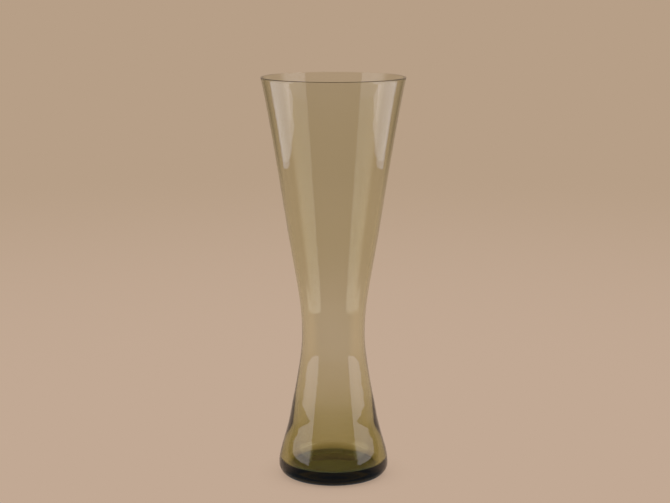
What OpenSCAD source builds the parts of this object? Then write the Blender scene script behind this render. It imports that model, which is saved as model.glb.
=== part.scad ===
// Hourglass vase of smoke-green glass: a flared bowl, a narrow waist and a bell on a thick, round-heeled base.
// It is turned about Z and stands on z = 0. Lengths are in millimetres, angles in degrees.
// The outside runs through stations, each with a diameter, a height, a lean away from upright and a wall thickness.

/* [Bowl] */
// Height from the standing ring to the top of the lip
vase_h = 270; // [240:1:310]
// Outside diameter over the lip
rim_d = 96; // [84:0.2:112]
// Lean of the bowl just under the lip
rim_lean = 11.6; // [6:0.1:15]
// Outside diameter in the middle of the bowl
bowl_d = 60.2; // [53:0.1:67]
// Height of that place in the bowl
bowl_z = 165; // [145:1:195]
// Lean of the bowl there
bowl_lean = 9.1; // [5:0.1:14]

/* [Waist and bell] */
// Outside diameter at the narrowest point of the waist
waist_d = 42.3; // [34:0.1:47]
// Height of the narrowest point of the waist
waist_z = 96; // [86:1:112]
// Outside diameter under the shoulder of the bell
shoulder_d = 53.2; // [51:0.1:56]
// Height of that place under the shoulder
shoulder_z = 56; // [51:1:66]
// Lean of the bell there
shoulder_lean = 10.9; // [8:0.1:15]
// Outside diameter where the bell draws in a little
hollow_d = 57.8; // [56:0.1:61]
// Height of that place
hollow_z = 44; // [39:1:49]
// Lean of the bell there
hollow_lean = 9.2; // [5:0.1:12]
// Outside diameter where the bell flares out to the foot
flare_d = 65.7; // [62:0.1:69]
// Height of the flare
flare_z = 27; // [24:1:34]
// Lean of the bell at the flare
flare_lean = 15.7; // [10:0.1:20]

/* [Glass] */
// Thickness of the wall just under the lip
wall_rim = 1.6; // [1.2:0.1:2.4]
// Thickness of the wall in the middle of the bowl
wall_bowl = 2.3; // [1.4:0.1:3]
// Thickness of the wall at the waist
wall_waist = 1.7; // [1.2:0.1:3]
// Thickness of the wall under the shoulder
wall_shoulder = 2.6; // [1.8:0.1:3.6]
// Thickness of the wall where the bell draws in
wall_hollow = 3.5; // [2.4:0.1:4.6]
// Thickness of the wall at the flare
wall_flare = 5.1; // [3.6:0.1:6.4]
// Thickness of the wall where it meets the base
wall_foot = 5.4; // [4:0.1:7]
// Radius of the lip's two edges, rounded by fire polishing
lip_r = 0.3; // [0.1:0.1:0.6]

/* [Base] */
// Largest outside diameter, round the heel
foot_d = 74.2; // [70:0.1:84]
// Height of the widest point of the heel
heel_z = 7.3; // [5:0.1:10]
// Diameter where the heel meets the standing ring
ring_d = 59.2; // [50:0.2:64]
// Thickness of the base, from the standing ring to the floor inside
base_t = 9.4; // [7:0.1:13]
// Radius of the corner between the floor and the wall, inside
floor_r = 1.2; // [1:0.1:5]
// Diameter of the hollow under the base
punt_d = 36; // [20:1:44]
// Depth of the hollow under the base
punt_depth = 2; // [1:0.1:4]

/* [Hidden] */
$fn = 180;
bowl_steps = 30;
bell_steps = 36;
heel_steps = 6;
arc_steps = 10;

function mix(a, b, t) = a + (b - a) * t;

// Value at height z on the cubic that leaves stations a and b, each [value, height, slope], at their slopes
function between(a, b, z) =
    let (h = b.y - a.y, t = (z - a.y) / h, u = 1 - t)
    u * u * (1 + 2 * t) * a.x + t * t * (1 + 2 * u) * b.x + h * t * u * (u * a.z - t * b.z);

// Value at height z on a list of stations that runs downwards
function along(list, z, i = 0) =
    z >= list[i + 1].y || i + 2 == len(list) ? between(list[i], list[i + 1], z) : along(list, z, i + 1);

// The lip is cut square to the leaning wall, so that its inner edge stands highest; each edge is rounded
lip_flat = wall_rim - 2 * lip_r;
lip_outer = [rim_d / 2 - lip_r, vase_h - lip_r - lip_flat * sin(rim_lean)];
lip_inner = [rim_d / 2 - lip_r - lip_flat * cos(rim_lean), vase_h - lip_r];
rim_z = lip_outer.y - lip_r * sin(rim_lean);

// Stations of the outside, from the lip down to the heel: radius, height, and how fast the radius grows with height
skin = [
    [lip_outer.x + lip_r * cos(rim_lean), rim_z, tan(rim_lean)],
    [bowl_d / 2, bowl_z, tan(bowl_lean)],
    [waist_d / 2, waist_z, 0],
    [shoulder_d / 2, shoulder_z, -tan(shoulder_lean)],
    [hollow_d / 2, hollow_z, -tan(hollow_lean)],
    [flare_d / 2, flare_z, -tan(flare_lean)],
    [foot_d / 2, heel_z, 0]
];

// The wall meets the base on a flat ring, at the top of the round corner inside
corner_top = base_t + floor_r;
corner_lean = atan(along(skin, corner_top) - along(skin, corner_top + 1));
seam_z = corner_top + floor_r * sin(corner_lean);

// Thickness of the wall, measured level, at the same stations, down to the ring where it meets the base
walls = [
    [wall_rim / cos(rim_lean), rim_z],
    [wall_bowl, bowl_z],
    [wall_waist, waist_z],
    [wall_shoulder, shoulder_z],
    [wall_hollow, hollow_z],
    [wall_flare, flare_z],
    [wall_foot, seam_z]
];

// The thickness changes smoothly: at a station its slope is the harmonic mean of the slopes on either side,
// and level where the wall is thickest or thinnest
function rise(i) = (walls[i + 1].x - walls[i].x) / (walls[i + 1].y - walls[i].y);
function meet(a, b) = a * b > 0 ? 2 * a * b / (a + b) : 0;
last = len(walls) - 1;
wall = [
    for (i = [0 : last])
    [walls[i].x, walls[i].y, i == 0 ? rise(0) : i == last ? rise(last - 1) : meet(rise(i - 1), rise(i))]
];

// Radius of the outside and of the inside at height z
function outside(z) = along(skin, z);
function inside(z) = outside(z) - along(wall, z);

corner_centre = [inside(seam_z) - floor_r * cos(corner_lean), corner_top];

// The hollow under the base is a shallow cap of a sphere
punt_r = punt_d / 2;
punt_sphere_r = (punt_r * punt_r + punt_depth * punt_depth) / (2 * punt_depth);
punt_centre = [0, punt_depth - punt_sphere_r];
punt_angle = asin(punt_r / punt_sphere_r);

// Points on an elliptic arc with half axes r, from angle a to angle b, both ends included
function arc(centre, r, a, b) =
    [for (i = [0 : arc_steps]) let (w = mix(a, b, i / arc_steps)) centre + [r.x * cos(w), r.y * sin(w)]];

module blown_wall() {
    heights = concat(
        [for (i = [1 : bowl_steps]) mix(rim_z, waist_z, i / bowl_steps)],
        [for (i = [1 : bell_steps]) mix(waist_z, seam_z, i / bell_steps)]
    );
    outer = [for (z = heights) [outside(z), z]];
    inner = [for (i = [len(heights) - 1 : -1 : 0]) [inside(heights[i]), heights[i]]];
    lip = concat(
        arc(lip_inner, [lip_r, lip_r], 180 - rim_lean, 90 - rim_lean),
        arc(lip_outer, [lip_r, lip_r], 90 - rim_lean, -rim_lean)
    );
    color("darkkhaki") rotate_extrude() polygon(concat(outer, inner, lip));
}

module heavy_base() {
    side = [for (i = [0 : heel_steps - 1]) let (z = mix(seam_z, heel_z, i / heel_steps)) [outside(z), z]];
    heel = arc([ring_d / 2, heel_z], [(foot_d - ring_d) / 2, heel_z], 0, -90);
    hollow = arc(punt_centre, [punt_sphere_r, punt_sphere_r], 90 - punt_angle, 90);
    corner = arc(corner_centre, [floor_r, floor_r], -90, corner_lean);
    color("darkolivegreen") rotate_extrude()
        polygon(concat(side, heel, hollow, [[0, base_t]], corner));
}

blown_wall();
heavy_base();
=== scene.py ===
"""Hourglass vase of smoke-green glass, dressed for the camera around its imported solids."""
import math

import bpy
import numpy as np
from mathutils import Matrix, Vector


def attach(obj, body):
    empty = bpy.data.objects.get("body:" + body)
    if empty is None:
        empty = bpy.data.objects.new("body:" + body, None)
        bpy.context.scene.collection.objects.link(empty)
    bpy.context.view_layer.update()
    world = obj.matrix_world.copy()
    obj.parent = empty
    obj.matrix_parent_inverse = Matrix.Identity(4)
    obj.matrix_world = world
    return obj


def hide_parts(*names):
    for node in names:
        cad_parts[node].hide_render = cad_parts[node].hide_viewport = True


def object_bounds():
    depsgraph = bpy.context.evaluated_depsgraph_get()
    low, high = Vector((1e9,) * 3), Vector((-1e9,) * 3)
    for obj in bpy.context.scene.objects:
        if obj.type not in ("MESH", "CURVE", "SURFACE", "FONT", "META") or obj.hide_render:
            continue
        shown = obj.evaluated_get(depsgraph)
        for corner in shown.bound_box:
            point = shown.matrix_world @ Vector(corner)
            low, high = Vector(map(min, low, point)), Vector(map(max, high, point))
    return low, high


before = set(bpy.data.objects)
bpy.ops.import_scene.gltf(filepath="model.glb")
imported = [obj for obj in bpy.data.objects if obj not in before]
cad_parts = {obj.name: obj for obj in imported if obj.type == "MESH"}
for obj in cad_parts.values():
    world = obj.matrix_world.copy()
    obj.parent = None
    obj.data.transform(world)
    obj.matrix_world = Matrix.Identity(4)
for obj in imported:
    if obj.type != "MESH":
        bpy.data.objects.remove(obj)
cad_low, cad_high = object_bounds()

MM = 0.001

# Sizes of the vase in millimetres, and its leans in degrees, as in the part's source
VASE_H = 270.0
RIM_LEAN = 11.6
BOWL_D, BOWL_Z, BOWL_LEAN = 60.2, 165.0, 9.1
WAIST_D, WAIST_Z = 42.3, 96.0
SHOULDER_D, SHOULDER_Z, SHOULDER_LEAN = 53.2, 56.0, 10.9
HOLLOW_D, HOLLOW_Z, HOLLOW_LEAN = 57.8, 44.0, 9.2
FLARE_D, FLARE_Z, FLARE_LEAN = 65.7, 27.0, 15.7
WALL_RIM, WALL_BOWL, WALL_WAIST = 1.6, 2.3, 1.7
WALL_SHOULDER, WALL_HOLLOW, WALL_FLARE, WALL_FOOT = 2.6, 3.5, 5.1, 5.4
LIP_R = 0.3
FOOT_D, HEEL_Z, RING_D = 74.2, 7.3, 59.2
BASE_T, FLOOR_R = 9.4, 1.2
PUNT_D, PUNT_DEPTH = 36.0, 2.0

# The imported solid's round is cut into chords, so the rim takes its size from the narrower way across
RIM_D = min(cad_high.x - cad_low.x, cad_high.y - cad_low.y) / MM

# The waist's curve stands this much higher than its station, in millimetres: in full near the waist, and not
# at all beyond its reach
WAIST_LIFT, WAIST_FULL, WAIST_REACH = 1.5, 14.0, 40.0
# How far the wall draws in under the lip, over what height, and over what height below that it comes back
LIP_DRAW, LIP_DRAW_LENGTH, LIP_DRAW_EASE = 0.12, 9.0, 50.0

# Slow waves that blowing leaves in the outer and the inner face: their height in millimetres, where they
# start round the vase, and the length over which they fade out at the lip and at the base
OUTER_WAVE, INNER_WAVE = 0.02, 0.07
OUTER_PHASE, INNER_PHASE = 0.6, 2.9
WAVE_FADE = 12.0
# Each slow wave's weight, crests round the vase, turn per millimetre of height, and share of the phase
SLOW_WAVES = ((0.45, 2, 0.045, 1.0), (0.30, 3, -0.083, 1.7), (0.25, 1, 0.151, 2.3))
# Level rings that turning leaves outside: their height, and each one's weight, turn per millimetre and phase
RING_WAVE = 0.015
LEVEL_RINGS = ((0.5, 0.273, 0.4), (0.3, 0.449, 1.9), (0.2, 0.698, 4.1))
# Closer rings on the bell: height, length and phase, and the heights between which they fade in and out
BELL_WAVE, BELL_LENGTH, BELL_PHASE = 0.0125, 8.6, 1.51
BELL_IN, BELL_OUT = (18.0, 24.0), (58.0, 46.0)
# Swell of the wall inside the bowl: where it passes nought, its length, and the heights where it fades in
SWELL_Z, SWELL_LENGTH = 216.0, 90.0
SWELL_IN = (130.0, 170.0)

# Points along each stretch of the section, and round the vase
PUNT_POINTS, RING_POINTS, HEEL_POINTS, OUTER_POINTS = 24, 10, 28, 160
EDGE_POINTS, FLAT_POINTS, INNER_POINTS, CORNER_POINTS, FLOOR_POINTS = 16, 8, 150, 24, 24
SEGMENTS = 216
# Power that eases the hollow under the base into the standing ring
PUNT_EASE = 1.5


def linear(hex_colour):
    """sRGB hex to linear RGBA: c/12.92 for the darkest values, and ((c + 0.055)/1.055)^2.4 above them."""
    c = np.array([int(hex_colour[i:i + 2], 16) for i in (1, 3, 5)]) / 255
    return (*np.where(c <= 0.04045, c / 12.92, ((c + 0.055) / 1.055) ** 2.4).tolist(), 1.0)


def add(tree, kind, settings=None, sockets=None):
    """Adds a node with its own settings, and gives each named socket a value or a link from another node."""
    made = tree.nodes.new(kind)
    for name, value in (settings or {}).items():
        setattr(made, name, value)
    for name, value in (sockets or {}).items():
        if isinstance(value, bpy.types.NodeSocket):
            tree.links.new(value, made.inputs[name])
        else:
            made.inputs[name].default_value = value
    return made


# Settings that many nodes share
SMOOTH = {"interpolation_type": "SMOOTHSTEP"}
TIMES = {"operation": "MULTIPLY"}
MORE, LESS = {"operation": "GREATER_THAN"}, {"operation": "LESS_THAN"}
# Counts of bounces that tell none from one, and one from two
NONE_OR_ONE, ONE_OR_TWO = 0.5, 1.5


def fresh(name):
    """An empty material with only an output node."""
    material = bpy.data.materials.new(name)
    material.use_nodes = True
    material.node_tree.nodes.clear()
    return material, material.node_tree, add(material.node_tree, "ShaderNodeOutputMaterial")


def put(name, points, faces, material):
    """A smooth-shaded mesh object from an array of points and a list of faces, at the origin."""
    mesh = bpy.data.meshes.new(name)
    mesh.from_pydata(points.reshape(-1, 3).tolist(), [], faces)
    mesh.polygons.foreach_set("use_smooth", np.ones(len(mesh.polygons), dtype=bool))
    mesh.materials.append(material)
    mesh.update()
    piece = bpy.data.objects.new(name, mesh)
    bpy.context.scene.collection.objects.link(piece)
    return piece


def ring_faces(rings, around):
    """Quads between neighbouring rings of a grid that closes on itself round the axis."""
    i, j = np.meshgrid(np.arange(rings - 1), np.arange(around), indexing="ij")
    k = (j + 1) % around
    corners = [i * around + j, i * around + k, (i + 1) * around + k, (i + 1) * around + j]
    return np.stack(corners, -1).reshape(-1, 4)


def ramp(value, start, end):
    """A straight ramp: 0 at the start, 1 at the end, and level beyond them."""
    return np.clip((value - start) / (end - start), 0, 1)


def ease(value, start, end):
    """The same ramp with smooth ends: 3t^2 - 2t^3."""
    t = ramp(value, start, end)
    return t * t * (3 - 2 * t)


def slope(lean):
    """How fast a radius grows with height on a face that leans by that angle."""
    return math.tan(math.radians(lean))


# The lip is cut square to the leaning wall, and its two edges are rounded, each about its own centre
RIM_COS, RIM_SIN = math.cos(math.radians(RIM_LEAN)), math.sin(math.radians(RIM_LEAN))
LIP_FLAT = WALL_RIM - 2 * LIP_R
LIP_OUTER = (RIM_D / 2 - LIP_R, VASE_H - LIP_R - LIP_FLAT * RIM_SIN)
LIP_INNER = (RIM_D / 2 - LIP_R - LIP_FLAT * RIM_COS, VASE_H - LIP_R)
RIM_R, RIM_Z = LIP_OUTER[0] + LIP_R * RIM_COS, LIP_OUTER[1] - LIP_R * RIM_SIN

# Stations of the outside, from the heel up to the lip: height, radius, and the radius's growth with height
SKIN = np.array([
    (HEEL_Z, FOOT_D / 2, 0),
    (FLARE_Z, FLARE_D / 2, -slope(FLARE_LEAN)),
    (HOLLOW_Z, HOLLOW_D / 2, -slope(HOLLOW_LEAN)),
    (SHOULDER_Z, SHOULDER_D / 2, -slope(SHOULDER_LEAN)),
    (WAIST_Z, WAIST_D / 2, 0),
    (BOWL_Z, BOWL_D / 2, slope(BOWL_LEAN)),
    (RIM_Z, RIM_R, slope(RIM_LEAN)),
])


def along(stations, z):
    """Value at height z: between two stations, the cubic that has each one's value and slope there."""
    z = np.asarray(z, dtype=float)
    i = np.clip(np.searchsorted(stations[:, 0], z, side="right") - 1, 0, len(stations) - 2)
    (za, va, sa), (zb, vb, sb) = stations[i].T, stations[i + 1].T
    h = zb - za
    t = (z - za) / h
    u = 1 - t
    return u * u * (1 + 2 * t) * va + t * t * (1 + 2 * u) * vb + h * t * u * (u * sa - t * sb)


def outside(z):
    """Radius of the outside at height z. Round the waist it is taken lower down, to lift the curve."""
    return along(SKIN, z - WAIST_LIFT * ease(np.abs(z - WAIST_Z), WAIST_REACH, WAIST_FULL))


# The wall meets the base at the top of the round corner inside
CORNER_TOP = BASE_T + FLOOR_R
CORNER_LEAN = math.atan(float(outside(CORNER_TOP) - outside(CORNER_TOP + 1)))
SEAM_Z = CORNER_TOP + FLOOR_R * math.sin(CORNER_LEAN)


def wall_stations():
    """Height, thickness and slope of the wall from the base up to the lip.

    The slope is the harmonic mean of those on either side, and level where the wall is thickest or thinnest.
    """
    z = np.array([SEAM_Z, FLARE_Z, HOLLOW_Z, SHOULDER_Z, WAIST_Z, BOWL_Z, RIM_Z])
    t = np.array([
        WALL_FOOT, WALL_FLARE, WALL_HOLLOW, WALL_SHOULDER, WALL_WAIST, WALL_BOWL, WALL_RIM / RIM_COS])
    rise = np.diff(t) / np.diff(z)
    a, b = rise[:-1], rise[1:]
    same = a * b > 0
    middle = np.where(same, 2 * a * b / np.where(same, a + b, 1), 0)
    return np.stack([z, t, np.concatenate([rise[:1], middle, rise[-1:]])], -1)


WALL = wall_stations()


def inside(z):
    """Radius of the inside at height z: the outside less the wall."""
    return outside(z) - along(WALL, z)


def arc(centre, half, start, end, points):
    """Points (radius, height) on an ellipse with those half axes, from one angle in degrees to another."""
    w = np.radians(np.linspace(start, end, points))
    return np.stack([centre[0] + half[0] * np.cos(w), centre[1] + half[1] * np.sin(w)], -1)


def vase_profile():
    """The closed section, from the axis under the base, round the heel, up and over the lip, and down inside.

    The hollow under the base falls as (1 - (r/R)^2)^1.5, which eases it into the ring. Each point also says
    whether it takes the marks of the outer and of the inner face.
    """
    r = np.linspace(0, PUNT_D / 2, PUNT_POINTS)
    under = np.stack([r, PUNT_DEPTH * np.clip(1 - (2 * r / PUNT_D) ** 2, 0, 1) ** PUNT_EASE], -1)
    r = np.linspace(PUNT_D / 2, RING_D / 2, RING_POINTS)[1:-1]
    ring = np.stack([r, np.zeros_like(r)], -1)
    heel = arc((RING_D / 2, HEEL_Z), ((FOOT_D - RING_D) / 2, HEEL_Z), -90, 0, HEEL_POINTS)
    z = np.linspace(HEEL_Z, RIM_Z, OUTER_POINTS)[1:]
    outer = np.stack([outside(z), z], -1)
    edge = arc(LIP_OUTER, (LIP_R, LIP_R), -RIM_LEAN, 90 - RIM_LEAN, EDGE_POINTS)[1:]
    edge_in = arc(LIP_INNER, (LIP_R, LIP_R), 90 - RIM_LEAN, 180 - RIM_LEAN, EDGE_POINTS)
    flat = np.linspace(edge[-1], edge_in[0], FLAT_POINTS)[1:-1]
    lip = np.concatenate([edge, flat, edge_in])
    z = np.linspace(RIM_Z, SEAM_Z, INNER_POINTS)[1:]
    inner = np.stack([inside(z), z], -1)
    centre = (inside(SEAM_Z) - FLOOR_R * math.cos(CORNER_LEAN), CORNER_TOP)
    corner = arc(centre, (FLOOR_R, FLOOR_R), math.degrees(CORNER_LEAN), -90, CORNER_POINTS)[1:]
    r = np.linspace(centre[0], 0, FLOOR_POINTS)[1:]
    floor = np.stack([r, np.full_like(r, BASE_T)], -1)
    parts = [under, ring, heel, outer, lip, inner, corner, floor]
    takes_outer = np.concatenate([np.full(len(p), p is outer, dtype=float) for p in parts])
    takes_inner = np.concatenate([np.full(len(p), p is inner, dtype=float) for p in parts])
    return np.concatenate(parts), takes_outer, takes_inner


def slow_wave(z, angle, phase):
    """Slow waves left by blowing: three sines of height and angle, which add up to between -1 and 1."""
    return sum(w * np.sin(n * angle + k * z + share * phase) for w, n, k, share in SLOW_WAVES)


def level_rings(z):
    """Level rings left by turning in the mould: three sines of height with periods of 23, 14 and 9 mm."""
    return sum(w * np.sin(z * k + phase) for w, k, phase in LEVEL_RINGS)


def bell_rings(z):
    """Closer rings on the bell: one sine of height, which fades in above the base and out below the waist."""
    return ramp(z, *BELL_IN) * ramp(z, *BELL_OUT) * np.sin(2 * math.pi * z / BELL_LENGTH + BELL_PHASE)


def lip_draw(z):
    """How the wall draws in under the lip: a parabola down from it, and a slow smooth step back to nought."""
    below = RIM_Z - z
    near = 1 - ramp(below, LIP_DRAW_LENGTH, 0) ** 2
    return near * (1 - ease(below, LIP_DRAW_LENGTH, LIP_DRAW_LENGTH + LIP_DRAW_EASE))


def vase_glass(material):
    """The vase as one closed skin: the section turned about Z, its radius moved by the marks of its making.

    The waves fade out next to the lip and the base, so that the ends keep their size. Inside the bowl, a slow
    sine of height, which is the same all round, takes over from the slow waves.
    """
    section, takes_outer, takes_inner = vase_profile()
    r, z = section[1:-1].T
    outer, inner = takes_outer[1:-1], takes_inner[1:-1]
    angle = np.linspace(0, 2 * math.pi, SEGMENTS, endpoint=False)[None, :]
    fade = ramp(z, RIM_Z, RIM_Z - WAVE_FADE) * ramp(z, SEAM_Z, SEAM_Z + WAVE_FADE)
    bowl = ease(z, *SWELL_IN)
    swell = -np.sin(2 * math.pi * (z - SWELL_Z) / SWELL_LENGTH)
    level = outer * (RING_WAVE * fade * level_rings(z) + BELL_WAVE * bell_rings(z))
    level = level + INNER_WAVE * inner * fade * bowl * swell - LIP_DRAW * (outer + inner) * lip_draw(z)
    radius = (r + level)[:, None]
    for size, phase in (
            (OUTER_WAVE * outer * fade, OUTER_PHASE),
            (INNER_WAVE * inner * fade * (1 - bowl), INNER_PHASE)):
        radius = radius + size[:, None] * slow_wave(z[:, None], angle, phase)
    height = np.broadcast_to(z[:, None], radius.shape)
    skin = np.stack([radius * np.cos(angle), radius * np.sin(angle), height], -1)
    poles = np.array([(0, 0, section[0, 1]), (0, 0, section[-1, 1])])
    points = np.concatenate([skin.reshape(-1, 3), poles]) * MM
    count = len(r) * SEGMENTS
    j = np.arange(SEGMENTS)
    k = (j + 1) % SEGMENTS
    last = (len(r) - 1) * SEGMENTS
    bottom = np.stack([np.full(SEGMENTS, count), k, j], -1)
    top = np.stack([np.full(SEGMENTS, count + 1), last + j, last + k], -1)
    faces = ring_faces(len(r), SEGMENTS).tolist() + bottom.tolist() + top.tolist()
    return put("vase_glass", points, faces, material)


# Colour and strength of the tint: light loses this density times (1 - colour) per metre
TINT = "#CAC537"
TINT_DENSITY = 130.0
GLASS_IOR = 1.52
# Turning marks in the skin: how far apart, how long and how deep they are in millimetres, and their strength
MARK_PITCH, MARK_STREAK, MARK_DEPTH = 4.0, 250.0, 0.1
MARK_STRENGTH = 0.04
# Scuffs: how high they reach in millimetres, how rough they are, and how many grains of grit fit in a metre
WORN_H, WORN_ROUGH, GRIT_SCALE = 0.6, 0.35, 900.0


def smoke_glass():
    """Soda-lime glass, blown in a wet mould and turned: clear and glossy, its body tinted olive-smoke.

    It gives the eye a darker tint where the line of sight runs far through glass, faint level rings from the
    turning, and a standing ring that has gone dull from use.
    """
    material, tree, out = fresh("soda_lime_glass_turn_mould_blown_smoke")
    place = add(tree, "ShaderNodeTexCoord").outputs["Object"]
    # Turning marks, close together up the wall and long round it
    scale = (1 / (MARK_STREAK * MM), 1 / (MARK_STREAK * MM), 1 / (MARK_PITCH * MM))
    marks = add(tree, "ShaderNodeMapping", sockets={"Vector": place, "Scale": scale}).outputs["Vector"]
    marks = add(tree, "ShaderNodeTexNoise", sockets={
        "Vector": marks, "Scale": 1.0, "Detail": 2.0}).outputs["Fac"]
    marks = add(tree, "ShaderNodeBump", sockets={
        "Height": marks, "Strength": MARK_STRENGTH, "Distance": MARK_DEPTH * MM}).outputs["Normal"]
    # Scuffs on the lowest part, which the table rubs
    height = add(tree, "ShaderNodeSeparateXYZ", sockets={"Vector": place}).outputs["Z"]
    grit = add(tree, "ShaderNodeTexNoise", sockets={
        "Vector": place, "Scale": GRIT_SCALE, "Detail": 3.0}).outputs["Fac"]
    worn = add(tree, "ShaderNodeMapRange", sockets={
        "Value": height, "From Min": 0.0, "From Max": WORN_H * MM,
        "To Min": WORN_ROUGH, "To Max": 0.0}).outputs["Result"]
    rough = add(tree, "ShaderNodeMath", TIMES, {0: worn, 1: grit}).outputs["Value"]
    body = add(tree, "ShaderNodeBsdfPrincipled", sockets={
        "Base Color": (1, 1, 1, 1), "Transmission Weight": 1.0, "IOR": GLASS_IOR,
        "Roughness": rough, "Normal": marks})
    tint = add(tree, "ShaderNodeVolumeAbsorption", sockets={"Color": linear(TINT), "Density": TINT_DENSITY})
    tree.links.new(body.outputs["BSDF"], out.inputs["Surface"])
    tree.links.new(tint.outputs["Volume"], out.inputs["Volume"])
    return material


# Colours of the floor: under the base, a painted cool tint of the light that comes only through the glass;
# near the vase, lighter by a painted pool of light; and far away, the paper's plain colour
PAINTED_GLASS_LIGHT_UNDER = "#C6D8C4"
PAINTED_LIGHT_POOL_NEAR = "#C2A994"
PAPER_FAR = "#B79F87"
# Distances in metres between which the first colour turns into the second, and the second into the third
UNDER_TO_NEAR, NEAR_TO_FAR = (0.026, 0.031), (0.25, 1.6)
# Distances in metres between which the floor goes from lit and shaded to plain, and the power of that rise:
# well below 1, so that the shadow stays close to the base
FLOOR_LIT, FLOOR_PLAIN = 0.029, 0.055
FLOOR_RISE = 0.216
# Painted reflections, which the floor shows only where the glass mirrors it: the dim set in front, the dim
# floor far out at the sides, what it mirrors more than once, and what it mirrors more than once from the
# sides
PAINTED_REFLECTION_FRONT = "#66696E"
PAINTED_REFLECTION_SIDE = "#6B5A48"
PAINTED_REFLECTION_TWICE = "#7D7464"
PAINTED_REFLECTION_ASIDE = "#785F48"
# Bearings between which a mirrored place stops being in front or at the side: 1 is straight back, and -1
# straight ahead
FRONT_BEARING, SIDE_BEARING = (-0.6, 0.0), (0.75, 0.98)
# Distances in metres between which the floor at the sides turns dim in its painted reflection
SIDE_AWAY = (0.6, 1.4)


def floor_paper():
    """Matt background paper, painted cooler where light comes only through the base and lighter near the
    vase.

    Near the vase it is lit and shaded; further out it keeps its plain colour to the eye. Where the glass
    mirrors it in front, far out at the sides, or more than once, it shows painted dim reflections instead.
    """
    material, tree, out = fresh("matt_background_paper")
    ray = add(tree, "ShaderNodeLightPath").outputs
    place = add(tree, "ShaderNodeTexCoord").outputs["Object"]
    away = add(tree, "ShaderNodeVectorMath", {"operation": "LENGTH"}, {0: place}).outputs["Value"]
    # The paper's colour carries a painted cool tint of light under the base and a painted pool of light near
    # the vase
    colour = linear(PAINTED_GLASS_LIGHT_UNDER)
    for (start, end), other in ((UNDER_TO_NEAR, PAINTED_LIGHT_POOL_NEAR), (NEAR_TO_FAR, PAPER_FAR)):
        share = add(tree, "ShaderNodeMapRange", SMOOTH, {
            "Value": away, "From Min": start, "From Max": end}).outputs["Result"]
        colour = add(tree, "ShaderNodeMix", {"data_type": "RGBA"}, {
            "Factor": share, 6: colour, 7: linear(other)}).outputs[2]
    lit = add(tree, "ShaderNodeBsdfDiffuse", sockets={"Color": colour}).outputs["BSDF"]
    plain = add(tree, "ShaderNodeEmission", sockets={"Color": colour, "Strength": 1.0}).outputs["Emission"]
    seen = add(tree, "ShaderNodeMath", {"operation": "ADD"}, {
        0: ray["Is Camera Ray"], 1: ray["Is Transmission Ray"]}).outputs["Value"]
    seen = add(tree, "ShaderNodeMath", {"operation": "ADD", "use_clamp": True}, {
        0: seen, 1: ray["Is Glossy Ray"]}).outputs["Value"]
    apart = add(tree, "ShaderNodeMapRange", sockets={
        "Value": away, "From Min": FLOOR_LIT, "From Max": FLOOR_PLAIN}).outputs["Result"]
    apart = add(tree, "ShaderNodeMath", {"operation": "POWER"}, {0: apart, 1: FLOOR_RISE}).outputs["Value"]
    share = add(tree, "ShaderNodeMath", TIMES, {0: seen, 1: apart}).outputs["Value"]
    mixed = add(tree, "ShaderNodeMixShader", sockets={"Fac": share, 1: lit, 2: plain}).outputs["Shader"]
    # Painted reflections: what the glass mirrors shows dim colours
    back = add(tree, "ShaderNodeSeparateXYZ", sockets={"Vector": place}).outputs["Y"]
    bearing = add(tree, "ShaderNodeMath", {"operation": "DIVIDE"}, {0: back, 1: away}).outputs["Value"]
    mirrored = add(tree, "ShaderNodeMath", MORE, {0: ray["Glossy Depth"], 1: NONE_OR_ONE}).outputs["Value"]
    direct = add(tree, "ShaderNodeMath", LESS, {0: ray["Diffuse Depth"], 1: NONE_OR_ONE}).outputs["Value"]
    mirrored = add(tree, "ShaderNodeMath", TIMES, {0: mirrored, 1: direct}).outputs["Value"]
    twice = add(tree, "ShaderNodeMath", MORE, {0: ray["Glossy Depth"], 1: ONE_OR_TWO}).outputs["Value"]
    aside = add(tree, "ShaderNodeMapRange", SMOOTH, {
        "Value": bearing, "From Min": SIDE_BEARING[0], "From Max": SIDE_BEARING[1],
        "To Min": 1.0, "To Max": 0.0}).outputs["Result"]
    distant = add(tree, "ShaderNodeMapRange", SMOOTH, {
        "Value": away, "From Min": SIDE_AWAY[0], "From Max": SIDE_AWAY[1]}).outputs["Result"]
    side = add(tree, "ShaderNodeMath", TIMES, {0: aside, 1: distant}).outputs["Value"]
    front = add(tree, "ShaderNodeMapRange", SMOOTH, {
        "Value": bearing, "From Min": FRONT_BEARING[0], "From Max": FRONT_BEARING[1],
        "To Min": 1.0, "To Max": 0.0}).outputs["Result"]
    twice_aside = add(tree, "ShaderNodeMath", TIMES, {0: twice, 1: aside}).outputs["Value"]
    # Each one paints a dim reflection, seen only by rays that the glass mirrors
    for where, dim in (
            (twice, PAINTED_REFLECTION_TWICE), (side, PAINTED_REFLECTION_SIDE),
            (front, PAINTED_REFLECTION_FRONT), (twice_aside, PAINTED_REFLECTION_ASIDE)):
        share = add(tree, "ShaderNodeMath", TIMES, {0: where, 1: mirrored}).outputs["Value"]
        glow = add(tree, "ShaderNodeEmission", sockets={
            "Color": linear(dim), "Strength": 1.0}).outputs["Emission"]
        mixed = add(tree, "ShaderNodeMixShader", sockets={"Fac": share, 1: mixed, 2: glow}).outputs["Shader"]
    tree.links.new(mixed, out.inputs["Surface"])
    return material


# The floor's first and last ring in metres, its rings and the points round each, and its depth under the vase
PAPER_FIRST, PAPER_LAST = 0.005, 40.0
PAPER_RINGS, PAPER_AROUND = 48, 96
PAPER_DROP = 0.0002


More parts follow.
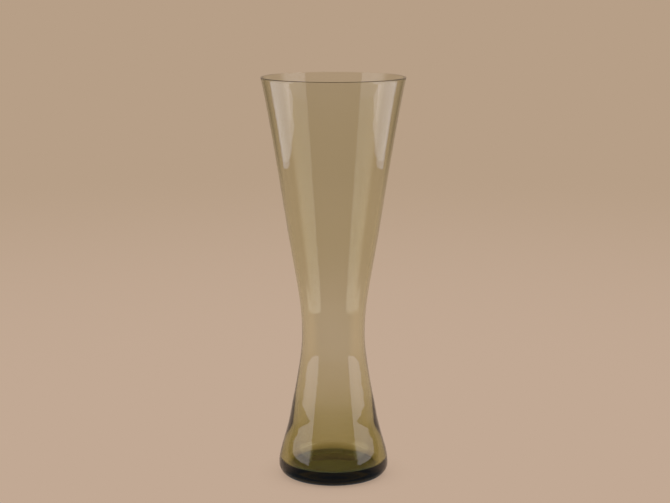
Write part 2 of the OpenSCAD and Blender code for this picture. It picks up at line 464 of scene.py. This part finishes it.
def floor_disc(material):
    """A flat disc just under the vase: rings whose radius grows by an equal factor from 5 mm to 40 m."""
    radius = np.geomspace(PAPER_FIRST, PAPER_LAST, PAPER_RINGS)[:, None]
    angle = np.linspace(0, 2 * math.pi, PAPER_AROUND, endpoint=False)[None, :]
    height = np.full((PAPER_RINGS, PAPER_AROUND), -PAPER_DROP)
    rings = np.stack([radius * np.cos(angle), radius * np.sin(angle), height], -1)
    points = np.concatenate([rings.reshape(-1, 3), [(0, 0, -PAPER_DROP)]])
    j = np.arange(PAPER_AROUND)
    centre = np.full(PAPER_AROUND, PAPER_RINGS * PAPER_AROUND)
    middle = np.stack([centre, j, (j + 1) % PAPER_AROUND], -1)
    faces = ring_faces(PAPER_RINGS, PAPER_AROUND)[:, ::-1].tolist() + middle.tolist()
    return put("floor", points, faces, material)


# The two soft lamps stand upright on either side. Lengths in metres.
LAMP_X = 0.515
LAMP_FRONT, LAMP_BACK = -0.405, 0.30
LAMP_LOW, LAMP_TOP = 0.0476, 1.0
LAMP_COLOUR = "#F4EEFF"
# Brightness of a lamp at its front and at its back, and the depths between which it changes
LAMP_BRIGHT, LAMP_BACK_GLOW = 1.8, 1.5
LAMP_TURN = (-0.12, 0.04)
# Share of that brightness low down and high up, and the heights between which it changes
LAMP_LOW_SHARE, LAMP_TOP_SHARE = 1.1, 0.6
LAMP_RISE = (0.05, 0.45)
# Above these heights, the glow fades out towards the back between these depths
LAMP_FADE_Z, LAMP_FADE_Y = (0.095, 0.135), (0.0, 0.17)
# Share of a lamp that is left where the glass mirrors it more than once
LAMP_TWICE_SHARE = 0.25


def lamp_cloth():
    """White diffuser cloth, lit from behind so that it glows, most of all low at the front.

    High up it fades out towards the back. It lights the vase and is mirrored by it, but to the camera, and
    straight through the glass, it isn't there.
    """
    material, tree, out = fresh("white_diffuser_cloth")
    ray = add(tree, "ShaderNodeLightPath").outputs
    place = add(tree, "ShaderNodeTexCoord").outputs["Object"]
    place = add(tree, "ShaderNodeSeparateXYZ", sockets={"Vector": place}).outputs
    glow = add(tree, "ShaderNodeMapRange", SMOOTH, {
        "Value": place["Y"], "From Min": LAMP_TURN[0], "From Max": LAMP_TURN[1],
        "To Min": LAMP_BRIGHT, "To Max": LAMP_BACK_GLOW}).outputs["Result"]
    rise = add(tree, "ShaderNodeMapRange", SMOOTH, {
        "Value": place["Z"], "From Min": LAMP_RISE[0], "From Max": LAMP_RISE[1],
        "To Min": LAMP_LOW_SHARE, "To Max": LAMP_TOP_SHARE}).outputs["Result"]
    upper = add(tree, "ShaderNodeMapRange", SMOOTH, {
        "Value": place["Z"], "From Min": LAMP_FADE_Z[0], "From Max": LAMP_FADE_Z[1]}).outputs["Result"]
    behind = add(tree, "ShaderNodeMapRange", SMOOTH, {
        "Value": place["Y"], "From Min": LAMP_FADE_Y[0], "From Max": LAMP_FADE_Y[1]}).outputs["Result"]
    faded = add(tree, "ShaderNodeMath", TIMES, {0: upper, 1: behind}).outputs["Value"]
    kept = add(tree, "ShaderNodeMath", {"operation": "SUBTRACT"}, {0: 1.0, 1: faded}).outputs["Value"]
    once = add(tree, "ShaderNodeMapRange", sockets={
        "Value": ray["Glossy Depth"], "From Min": 1.0, "From Max": 2.0,
        "To Min": 1.0, "To Max": LAMP_TWICE_SHARE}).outputs["Result"]
    for share in (rise, kept, once):
        glow = add(tree, "ShaderNodeMath", TIMES, {0: glow, 1: share}).outputs["Value"]
    glow = add(tree, "ShaderNodeEmission", sockets={
        "Color": linear(LAMP_COLOUR), "Strength": glow}).outputs["Emission"]
    clear = add(tree, "ShaderNodeBsdfTransparent").outputs["BSDF"]
    unmirrored = add(tree, "ShaderNodeMath", LESS, {0: ray["Glossy Depth"], 1: NONE_OR_ONE}).outputs["Value"]
    direct = add(tree, "ShaderNodeMath", LESS, {0: ray["Diffuse Depth"], 1: NONE_OR_ONE}).outputs["Value"]
    through = ray["Is Transmission Ray"]
    for share in (unmirrored, direct):
        through = add(tree, "ShaderNodeMath", TIMES, {0: through, 1: share}).outputs["Value"]
    hidden = add(tree, "ShaderNodeMath", {"operation": "ADD", "use_clamp": True}, {
        0: ray["Is Camera Ray"], 1: through}).outputs["Value"]
    mixed = add(tree, "ShaderNodeMixShader", sockets={"Fac": hidden, 1: glow, 2: clear}).outputs["Shader"]
    tree.links.new(mixed, out.inputs["Surface"])
    return material


def side_lamp(name, x, material):
    """An upright sheet: one flat rectangle, which faces the vase from the side."""
    corners = [(LAMP_FRONT, LAMP_LOW), (LAMP_BACK, LAMP_LOW), (LAMP_BACK, LAMP_TOP), (LAMP_FRONT, LAMP_TOP)]
    points = np.array([(x, y, z) for y, z in corners])
    return put(name, points, [[0, 1, 2, 3]], material)


# Light of the air near the horizon and overhead, and how far up a direction points where it changes
AIR_COLOUR = "#FFFCF6"
AIR_LOW, AIR_TOP = 0.10, 1.3
AIR_RISE = (0.25, 0.8)
# Share of the backdrop that is left in the dark ceiling, and how far up a direction points where that starts
CEILING_SHARE = 0.04
CEILING_RISE = (0.34, 0.44)
# Share of the backdrop that is mirrored from in front, and how far back a direction points where that changes
AHEAD_SHARE = 0.05
AHEAD_TURN = (0.4, 0.95)


def studio_air():
    """The set around: soft light from overhead on the floor, and the plain backdrop to the camera.

    What the glass bends or mirrors is the backdrop near the horizon and a dark ceiling above it. What it
    mirrors from in front and from the sides is dark too.
    """
    world = bpy.data.worlds.new("studio")
    bpy.context.scene.world = world
    world.use_nodes = True
    tree = world.node_tree
    tree.nodes.clear()
    out = add(tree, "ShaderNodeOutputWorld")
    ray = add(tree, "ShaderNodeLightPath").outputs
    place = add(tree, "ShaderNodeTexCoord").outputs["Generated"]
    place = add(tree, "ShaderNodeSeparateXYZ", sockets={"Vector": place}).outputs
    level = add(tree, "ShaderNodeMapRange", SMOOTH, {
        "Value": place["Z"], "From Min": AIR_RISE[0], "From Max": AIR_RISE[1],
        "To Min": AIR_LOW, "To Max": AIR_TOP}).outputs["Result"]
    light = add(tree, "ShaderNodeBackground", sockets={
        "Color": linear(AIR_COLOUR), "Strength": level}).outputs["Background"]
    ceiling = add(tree, "ShaderNodeMapRange", SMOOTH, {
        "Value": place["Z"], "From Min": CEILING_RISE[0], "From Max": CEILING_RISE[1],
        "To Min": 1.0, "To Max": CEILING_SHARE}).outputs["Result"]
    back = add(tree, "ShaderNodeMapRange", SMOOTH, {
        "Value": place["Y"], "From Min": AHEAD_TURN[0], "From Max": AHEAD_TURN[1],
        "To Min": AHEAD_SHARE, "To Max": 1.0}).outputs["Result"]
    unmirrored = add(tree, "ShaderNodeMath", LESS, {0: ray["Glossy Depth"], 1: NONE_OR_ONE}).outputs["Value"]
    back = add(tree, "ShaderNodeMath", {"operation": "MAXIMUM"}, {0: back, 1: unmirrored}).outputs["Value"]
    level = add(tree, "ShaderNodeMath", TIMES, {0: ceiling, 1: back}).outputs["Value"]
    bent = add(tree, "ShaderNodeBackground", sockets={
        "Color": linear(PAPER_FAR), "Strength": level}).outputs["Background"]
    plain = add(tree, "ShaderNodeBackground", sockets={
        "Color": linear(PAPER_FAR), "Strength": 1.0}).outputs["Background"]
    direct = add(tree, "ShaderNodeMath", LESS, {0: ray["Diffuse Depth"], 1: NONE_OR_ONE}).outputs["Value"]
    glass = add(tree, "ShaderNodeMath", {"operation": "ADD", "use_clamp": True}, {
        0: ray["Is Glossy Ray"], 1: ray["Is Transmission Ray"]}).outputs["Value"]
    glass = add(tree, "ShaderNodeMath", TIMES, {0: glass, 1: direct}).outputs["Value"]
    mixed = add(tree, "ShaderNodeMixShader", sockets={"Fac": glass, 1: light, 2: bent}).outputs["Shader"]
    mixed = add(tree, "ShaderNodeMixShader", sockets={
        "Fac": ray["Is Camera Ray"], 1: mixed, 2: plain}).outputs["Shader"]
    tree.links.new(mixed, out.inputs["Surface"])


# The camera's place and reach in metres, its tilt in degrees, and its lens and sensor in millimetres
CAMERA_AT = (0.00107, -1.080, 0.3489)
CAMERA_REACH = (0.01, 100.0)
CAMERA_TILT = 10.262
LENS, SENSOR = 88.12, 36.0


def camera():
    """The camera of the photograph: 1.08 m in front of the vase, 349 mm up, looking 10.3 degrees down."""
    data = bpy.data.cameras.new("camera")
    data.sensor_width = SENSOR
    data.lens = LENS
    data.clip_start, data.clip_end = CAMERA_REACH
    eye = bpy.data.objects.new("camera", data)
    eye.location = CAMERA_AT
    eye.rotation_euler = (math.radians(90 - CAMERA_TILT), 0, 0)
    bpy.context.scene.collection.objects.link(eye)
    bpy.context.scene.camera = eye


camera()
studio_air()
paper = floor_paper()
cloth = lamp_cloth()
floor = floor_disc(paper)
lamps = [side_lamp("lamp_left", -LAMP_X, cloth), side_lamp("lamp_right", LAMP_X, cloth)]

vase = vase_glass(smoke_glass())
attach(vase, "root")
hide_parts("blown_wall", "heavy_base")

# The light crosses many faces of glass before it leaves the vase
GLASS_BOUNCES, MIRROR_BOUNCES = 32, 16

scene = bpy.context.scene
scene.view_settings.view_transform = "Standard"
scene.cycles.max_bounces = GLASS_BOUNCES
scene.cycles.transmission_bounces = GLASS_BOUNCES
scene.cycles.glossy_bounces = MIRROR_BOUNCES
